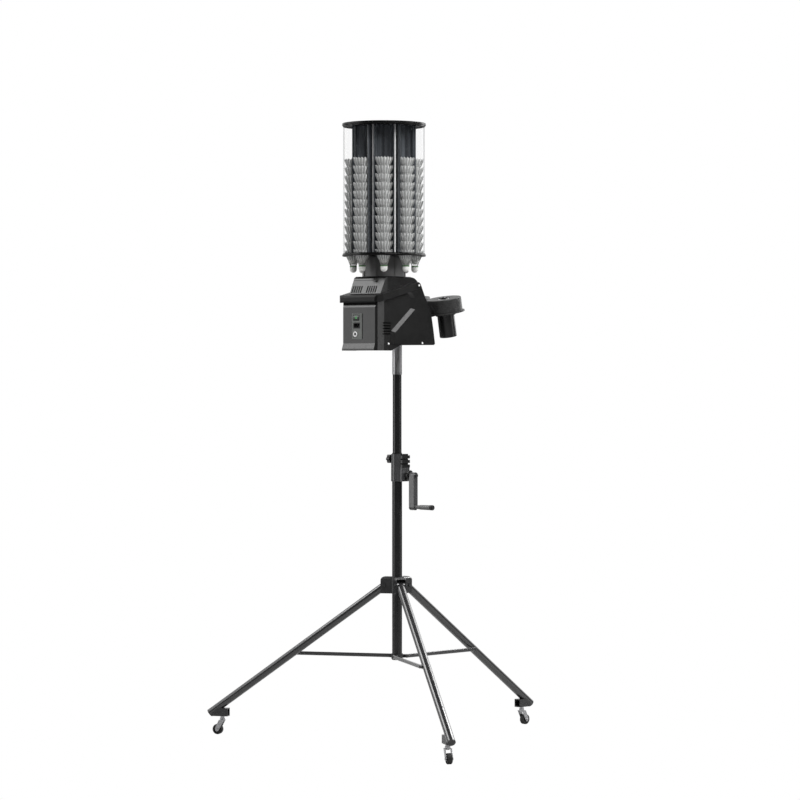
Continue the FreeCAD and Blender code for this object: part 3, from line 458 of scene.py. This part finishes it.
def feather_ring(bm, place):
    """Sixteen feathers, each a quill and a vane in two halves that overlaps the next one; the left half is
    painted darker, as painted shade.
    """
    lean = math.atan2(SKIRT_RADIUS - FEATHER_ROOT_RADIUS, SKIRT_LENGTH)
    length = SKIRT_LENGTH / math.cos(lean)
    right = [(0, VANE_START * length)]
    right += [(across * FEATHER_HALF_WIDTH, along * length) for across, along in VANE_EDGE]
    left = [(-x, y) for x, y in reversed(right)]
    for k in range(FEATHERS):
        angle = 2 * math.pi * k / FEATHERS
        out = Vector((math.cos(angle), math.sin(angle), 0))
        up = out * math.sin(lean) + Z * math.cos(lean)
        side = Z.cross(out)
        normal = side.cross(up)
        twist = Matrix.Rotation(FEATHER_TWIST, 3, up)
        across, face = twist @ side, twist @ normal
        origin = out * FEATHER_ROOT_RADIUS + Z * CORK_LENGTH
        turn = Matrix((across, up, face)).transposed().to_4x4()
        own = place @ Matrix.Translation(origin) @ turn
        plate(bm, right, VANE_THICKNESS, own, VANE_SLOT)
        # The left half of each vane takes the darker copy: painted shade.
        plate(bm, left, VANE_THICKNESS, own, VANE_PAINTED_SHADE_SLOT)
        shaft = own @ shift(0, -1.5, -0.2) @ Matrix.Rotation(-math.pi / 2, 4, "X")
        end = QUILL_SHARE * length
        lathe(bm, [(0, 0), (QUILL_ROOT, 0), (QUILL_TIP, end), (0, end)], shaft, 5, QUILL_SLOT)


def thread_rings(bm, place):
    """Two glued thread rings that bind the quills."""
    slope = (SKIRT_RADIUS - CORK_RADIUS) / SKIRT_LENGTH
    for height in THREAD_HEIGHTS:
        r = CORK_RADIUS - 0.6 * MM + slope * height
        z = CORK_LENGTH + height
        section = [(r, z), (r + 0.9 * MM, z + 0.5 * MM), (r, z + MM), (r - 0.7 * MM, z + 0.5 * MM)]
        lathe(bm, section, place, CORK_STEPS, QUILL_SLOT, True)


def shuttle(bm, place):
    cork(bm, place)
    feather_ring(bm, place)
    thread_rings(bm, place)


def make_shuttles():
    """The lowest row, and the stacks above it, in place of the CAD's plain skirts."""
    drum = centre("drum_cover")
    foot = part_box("shuttle_row")[0].z

    def fill(bm, levels):
        for level in levels:
            for k, (x, y) in enumerate(polygon(STATIONS, STATION_RADIUS, STATION_TURN)):
                angle = STATION_TURN + 2 * math.pi * k / STATIONS
                spot = Matrix.Translation((drum.x + x, y, foot + STACK_PITCH * level))
                spin = Matrix.Rotation(angle + 0.35 * level + 0.11 * k, 4, "Z")
                shuttle(bm, spot @ spin)

    materials = [CORK, GREEN, FEATHER, QUILL, FEATHER_PAINTED_SHADE]
    for name, replaced, levels in (
        ("shuttlecock_row", "shuttle_row", [0]),
        ("shuttlecock_stacks", "shuttle_stacks", range(1, STACK_COUNT)),
    ):
        piece = new_piece(name, lambda bm: fill(bm, levels), materials, "carousel", 50)
        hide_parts(replaced)


# ---------------------------------------------------------------- small fittings


def hex_bolt(bm, place, radius, height):
    """A hexagon head with a chamfered crown on a washer."""
    washer = 0.22 * height
    body = 0.62 * height
    crown = 0.16 * height
    rim = 1.35 * radius
    lathe(bm, [(0, 0), (rim, 0), (rim, washer), (0, washer)], place, 28)
    lift = place @ Matrix.Translation((0, 0, washer))
    plate(bm, polygon(6, radius), body, lift)
    top = lift @ Matrix.Translation((0, 0, body))
    lathe(bm, [(0.86 * radius, 0), (0.7 * radius, crown), (0, crown)], top, 6)


def socket_screw(bm, place, radius, height):
    """A button head with a round recess for its key."""
    profile = [(0.42 * radius, 0.35 * height), (0.42 * radius, height), (0.62 * radius, height)]
    profile += [(0.88 * radius, 0.75 * height), (radius, 0.3 * height), (radius, 0)]
    lathe(bm, [(0, 0.35 * height)] + profile, place, 18)


WHEEL_TOP = 28 * MM
WHEEL_SCREW_CIRCLE = 17 * MM
TREAD_RADIUS = 66.5 * MM
TREAD_START = -20
TREAD_PITCH = 6.5
TREAD_RIBS = 7
# A tread rib's section: radius past the tread, and height, in millimetres.
RIB_SECTION = [(-0.3, 0), (0.45, 0.5), (0.45, 3.6), (-0.3, 4.1)]


def make_launch_details():
    for side in ("left", "right"):
        joint = next(j for j in frame["joints"] if j["name"] == "wheel_%s_spin" % side)
        axis = Vector(joint["axis"])
        middle = Vector(joint["pos_m"])
        place = frame_to(middle + axis * WHEEL_TOP, axis, X)

        def cap(bm):
            hex_bolt(bm, place @ shift(0, 0, 3), 8 * MM, 5 * MM)
            for spot in polygon(4, WHEEL_SCREW_CIRCLE, math.pi / 4):
                socket_screw(bm, place @ Matrix.Translation((*spot, -3 * MM)), 3 * MM, 2.4 * MM)

        nut = new_piece("wheel_nut_" + side, cap, [STEEL], "wheel_" + side)

        def tread(bm):
            for k in range(TREAD_RIBS):
                foot = (TREAD_START + TREAD_PITCH * k) * MM
                ring = [(TREAD_RADIUS + r * MM, foot + z * MM) for r, z in RIB_SECTION]
                lathe(bm, ring, frame_to(middle, axis, X), 96, closed=True)

        band = new_piece("wheel_tread_" + side, tread, [WHEEL], "wheel_" + side)


JACK_Y = 15 * MM
JACK_HEIGHT = 18.5 * MM
JACK_RING = [(5.2, 0), (5.2, 0.9), (6.2, 1.5), (9.2, 1.5), (10.4, 0.6), (10.4, 0)]
SYMBOL_SINK = 0.3 * MM
SYMBOL_THICKNESS = 0.5 * MM
SYMBOL_BAR = [(1.2, -0.7), (5.6, -0.7), (5.6, 0.7), (1.2, 0.7)]


def make_controls():
    frame_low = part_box("power_module")[0]
    jack = Vector((frame_low.x, JACK_Y, frame_low.z + JACK_HEIGHT))
    place = frame_to(jack, -X, Z)

    def ring(bm):
        lathe(bm, in_metres(JACK_RING), place, 36, closed=True)

    new_piece("jack_ring", ring, [WHITE], "head")
    face = centre("rocker_switch")
    face.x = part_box("rocker_switch")[0].x + SYMBOL_SINK
    face_place = frame_to(face, -X, Z)

    def symbol(bm):
        outer = arc(4.2 * MM, 40, 320, 18)
        inner = arc(2.8 * MM, 320, 40, 18)
        plate(bm, outer + inner, SYMBOL_THICKNESS, face_place)
        plate(bm, in_metres(SYMBOL_BAR), SYMBOL_THICKNESS, face_place)

    new_piece("switch_symbol", symbol, [SYMBOL], "rocker")


ROD_CIRCLE = 107 * MM
DOME_NUT = [(4.6, 0), (4.6, 1.6), (3.9, 3.0), (2.2, 4.0), (0, 4.3)]
EDGE_INSIDE = 154.1 * MM
EDGE_OUTSIDE = 155.3 * MM
EDGE_HEIGHT = 3 * MM


def make_drum_fittings():
    cover = centre("drum_cover")
    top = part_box("drum_cover")[1].z

    def nuts(bm):
        for x, y in polygon(STATIONS, ROD_CIRCLE, STATION_TURN + math.pi / STATIONS):
            spot = Matrix.Translation((cover.x + x, y, top))
            lathe(bm, in_metres(DOME_NUT), spot, 16)

    new_piece("rod_nuts", nuts, [STEEL], "carousel")
    low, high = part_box("drum_shell")

    def edges(bm):
        for z0, z1 in ((low.z, low.z + EDGE_HEIGHT), (high.z - EDGE_HEIGHT, high.z)):
            section = [(EDGE_INSIDE, z0), (EDGE_OUTSIDE, z0), (EDGE_OUTSIDE, z1), (EDGE_INSIDE, z1)]
            lathe(bm, section, Matrix.Translation((cover.x, 0, 0)), 96, closed=True)

    new_piece("shell_edge_rings", edges, [DISC], "carousel")


GRIP_CAP = [(9.8, -12), (9.9, -1.5), (8.6, 0.6), (5.5, 1.2), (0, 1.3)]
CRANK_BOLT_DROP = 12 * MM


def make_crank_details():
    end = centre("crank_grip")
    end.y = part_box("crank_grip")[0].y
    place = frame_to(end, -Y, Z)

    def cap(bm):
        lathe(bm, in_metres(GRIP_CAP), place, 28)

    new_piece("grip_cap", cap, [SOCKET], "grip")
    arm_low, arm_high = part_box("crank_arm")
    eye = Vector((centre("crank_arm").x, arm_low.y, arm_high.z - CRANK_BOLT_DROP))

    def bolt(bm):
        hex_bolt(bm, frame_to(eye, -Y, Z) @ shift(0, 0, 3), 7 * MM, 4.5 * MM)

    new_piece("crank_bolt", bolt, [CASTING], "crank")


# The hood's rear face rises 87 for each 42 forwards. Lengths are in millimetres.
HOOD_RUN, HOOD_RISE = 42, 87
VENT_SIDES = (-26, 46)
VENT_HALF_WIDTH = 21
VENT_HALF_HEIGHT = 15
WIRE = 0.8


def make_vent_mesh():
    """Dark gauze behind the hood's slots."""
    low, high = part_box("hood")
    slope = math.atan2(HOOD_RUN, HOOD_RISE)
    spot = Matrix.Translation((low.x + 27.5 * MM, 0, high.z - 49 * MM))
    place = spot @ Matrix.Rotation(slope - math.pi / 2, 4, "Y")

    def wire(bm, x0, y0, x1, y1):
        corners = [(x0, y0), (x1, y0), (x1, y1), (x0, y1)]
        plate(bm, in_metres(corners), WIRE * MM, place)

    def gauze(bm):
        for side in VENT_SIDES:
            start = side - VENT_HALF_WIDTH
            for k in range(9):
                y = start + 5.25 * k
                wire(bm, -VENT_HALF_HEIGHT, y, VENT_HALF_HEIGHT, y + WIRE)
            for k in range(7):
                x = -VENT_HALF_HEIGHT + 4.8 * k
                wire(bm, x, start, x + WIRE, side + VENT_HALF_WIDTH + WIRE)

    new_piece("vent_gauze", gauze, [SOCKET], "head")


# ---------------------------------------------------------------- studio

CAMERA_AZIMUTH = math.radians(-50)
CAMERA_DISTANCE = 11.4
CAMERA_HEIGHT = 1.43
AIM_HEIGHT = 1.294
AIM_SIDE = 0.011
LENS = 135

# Each light: its name, azimuth in degrees, distance, height, size, radiance and the height it is aimed at.
LIGHTS = (
    ("rear_high", 130, 3.6, 4.1, (2.2, 2.0), 4.6, 1.6),
    ("rear_low", 141, 3.8, 1.5, (1.6, 2.4), 1.9, 1.5),
    ("side_high", 298, 3.6, 3.6, (1.3, 1.3), 5.0, 1.6),
    ("side_low", 301, 3.8, 1.6, (0.5, 2.6), 2.0, 1.6),
    ("front_high", 250, 3.0, 4.9, (3.0, 3.0), 7.5, 1.4),
    ("key_right", 335, 3.6, 4.2, (1.4, 1.4), 20.0, 2.0),
    ("rim_left", 114, 3.4, 2.8, (1.0, 2.0), 2.4, 0.4),
    ("rim_right", 355, 3.4, 2.7, (1.1, 2.2), 2.8, 0.4),
)


def aim(item, target):
    item.rotation_mode = "QUATERNION"
    item.rotation_quaternion = (Vector(target) - item.location).to_track_quat("-Z", "Y")


def make_camera():
    back = Vector((math.sin(CAMERA_AZIMUTH), -math.cos(CAMERA_AZIMUTH), 0))
    right = Vector((math.cos(CAMERA_AZIMUTH), math.sin(CAMERA_AZIMUTH), 0))
    camera = bpy.data.objects.new("camera", bpy.data.cameras.new("camera"))
    bpy.context.scene.collection.objects.link(camera)
    camera.data.lens = LENS
    camera.data.clip_end = 100
    camera.location = back * CAMERA_DISTANCE + Z * CAMERA_HEIGHT
    aim(camera, Z * AIM_HEIGHT + right * AIM_SIDE)
    bpy.context.scene.camera = camera
    return back


def softbox(name, azimuth, distance, height, size, radiance, target_height):
    """A rectangle light at an azimuth round the column, facing it."""
    light = bpy.data.lights.new(name, "AREA")
    light.shape = "RECTANGLE"
    light.size, light.size_y = size
    light.energy = radiance * math.pi * size[0] * size[1]
    lamp = bpy.data.objects.new(name, light)
    angle = math.radians(azimuth)
    lamp.location = (distance * math.cos(angle), distance * math.sin(angle), height)
    bpy.context.scene.collection.objects.link(lamp)
    aim(lamp, (0, 0, target_height))


def make_world(back):
    """White to the camera. To the object it is bright behind and dark in front, as in a dim studio."""
    world = bpy.data.worlds.new("studio")
    bpy.context.scene.world = world
    world.use_nodes = True
    tree = world.node_tree
    path = tree.nodes.new("ShaderNodeLightPath")
    direction = tree.nodes.new("ShaderNodeTexCoord")
    along = tree.nodes.new("ShaderNodeVectorMath")
    along.operation = "DOT_PRODUCT"
    along.inputs[1].default_value = -back
    tree.links.new(direction.outputs["Generated"], along.inputs[0])
    fade = tree.nodes.new("ShaderNodeMapRange")
    fade.interpolation_type = "SMOOTHSTEP"
    for key, number in zip(RANGE_SOCKETS, (0.25, 0.85, 0.07, 0.85)):
        fade.inputs[key].default_value = number
    tree.links.new(along.outputs["Value"], fade.inputs["Value"])
    pick = tree.nodes.new("ShaderNodeMath")
    pick.operation = "MAXIMUM"
    tree.links.new(path.outputs["Is Camera Ray"], pick.inputs[0])
    tree.links.new(fade.outputs["Result"], pick.inputs[1])
    background = tree.nodes["Background"]
    background.inputs["Color"].default_value = (1, 1, 1, 1)
    tree.links.new(pick.outputs["Value"], background.inputs["Strength"])


def make_floor():
    """A pale plain floor that meets the backdrop without a line."""
    bm = bmesh.new()
    bmesh.ops.create_grid(bm, x_segments=1, y_segments=1, size=60)
    mesh = bpy.data.meshes.new("floor")
    bm.to_mesh(mesh)
    bm.free()
    paint = bpy.data.materials.new("studio_floor")
    paint.use_nodes = True
    tree = paint.node_tree
    matt = tree.nodes["Principled BSDF"]
    matt.inputs["Base Color"].default_value = (0.5, 0.5, 0.5, 1)
    matt.inputs["Roughness"].default_value = 0.8
    path = tree.nodes.new("ShaderNodeLightPath")
    glow = tree.nodes.new("ShaderNodeEmission")
    glow.inputs["Color"].default_value = (1, 1, 1, 1)
    glow.inputs["Strength"].default_value = 1.0
    mix = tree.nodes.new("ShaderNodeMixShader")
    tree.links.new(path.outputs["Is Camera Ray"], mix.inputs[0])
    tree.links.new(matt.outputs[0], mix.inputs[1])
    tree.links.new(glow.outputs[0], mix.inputs[2])
    tree.links.new(mix.outputs[0], tree.nodes["Material Output"].inputs["Surface"])
    mesh.materials.append(paint)
    floor = bpy.data.objects.new("floor", mesh)
    bpy.context.scene.collection.objects.link(floor)


def make_studio():
    back = make_camera()
    make_world(back)
    make_floor()
    for light in LIGHTS:
        softbox(*light)
    bpy.context.scene.view_settings.view_transform = "Standard"


finish_cad_nodes()
make_shuttles()
make_launch_details()
make_controls()
make_drum_fittings()
make_crank_details()
make_vent_mesh()
make_studio()
